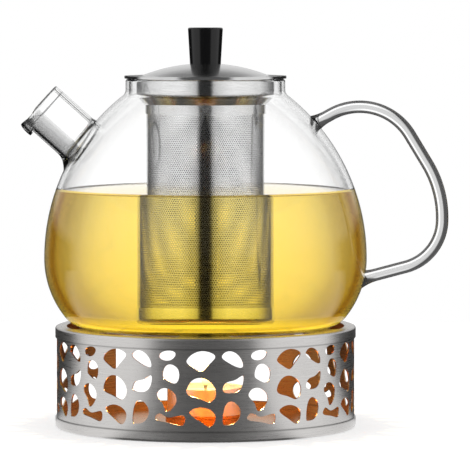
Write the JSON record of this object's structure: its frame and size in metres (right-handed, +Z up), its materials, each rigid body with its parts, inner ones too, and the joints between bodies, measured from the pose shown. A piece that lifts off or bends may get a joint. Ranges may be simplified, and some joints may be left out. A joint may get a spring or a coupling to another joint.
{
  "type": "glass teapot",
  "caption": "Round glass teapot with a rod handle, a short tube spout, a lift-out steel infuser and a domed steel lid, standing on a perforated steel tealight warmer.",
  "frame": {"origin": "centre of the warmer's flat underside, on the upright axis of the warmer, pot and lid", "axes": "+Z up, +X from the axis towards the handle, -X towards the spout, +Y towards the warmer's rear window"},
  "size_m": [0.2135, 0.1612, 0.1991],
  "materials": {
    "warmer_steel": "satin, brushed round the axis",
    "infuser_steel": "polished collar, finely perforated sleeve",
    "lid_steel": "spun, fine concentric brushing",
    "pot_glass": "clear, fire polished",
    "knob_plastic": "glossy black",
    "insert_brass": "knurled",
    "tab_steel": "bright plated",
    "cup_aluminium": "bright thin pressing",
    "wick_cotton": "charred cotton",
    "wax": "translucent paraffin wax"
  },
  "bodies": {
    "warmer": {"warmer_base_tray": "warmer_steel", "warmer_wall": "warmer_steel", "warmer_top_cover": "warmer_steel", "candle_stand": "warmer_steel"},
    "tealight": {"tealight_cup": "cup_aluminium", "wick_tab": "tab_steel", "tealight_wick": "wick_cotton", "tealight_wax": "wax"},
    "pot": {"pot_bowl": "pot_glass", "pot_shoulder": "pot_glass", "pot_spout": "pot_glass", "pot_handle": "pot_glass"},
    "infuser": {"infuser_collar": "infuser_steel", "infuser_sleeve": "infuser_steel", "infuser_base": "infuser_steel"},
    "lid": {"lid_cover": "lid_steel", "lid_skirt": "lid_steel", "lid_knob": "knob_plastic", "knob_insert": "insert_brass", "knob_washer": "tab_steel", "knob_screw": "tab_steel"}
  },
  "joints": [
    {"name": "pot_lift", "type": "slide", "parent": "warmer", "child": "pot", "axis": [0, 0, 1], "range_m": [0, 0.08]},
    {"name": "infuser_lift", "type": "slide", "parent": "pot", "child": "infuser", "axis": [0, 0, 1], "range_m": [0, 0.13]},
    {"name": "lid_lift", "type": "slide", "parent": "infuser", "child": "lid", "axis": [0, 0, 1], "range_m": [0, 0.06]},
    {"name": "tealight_out", "type": "slide", "parent": "warmer", "child": "tealight", "axis": [-0.0872, 0.9962, 0], "range_m": [0, 0.11]}
  ]
}
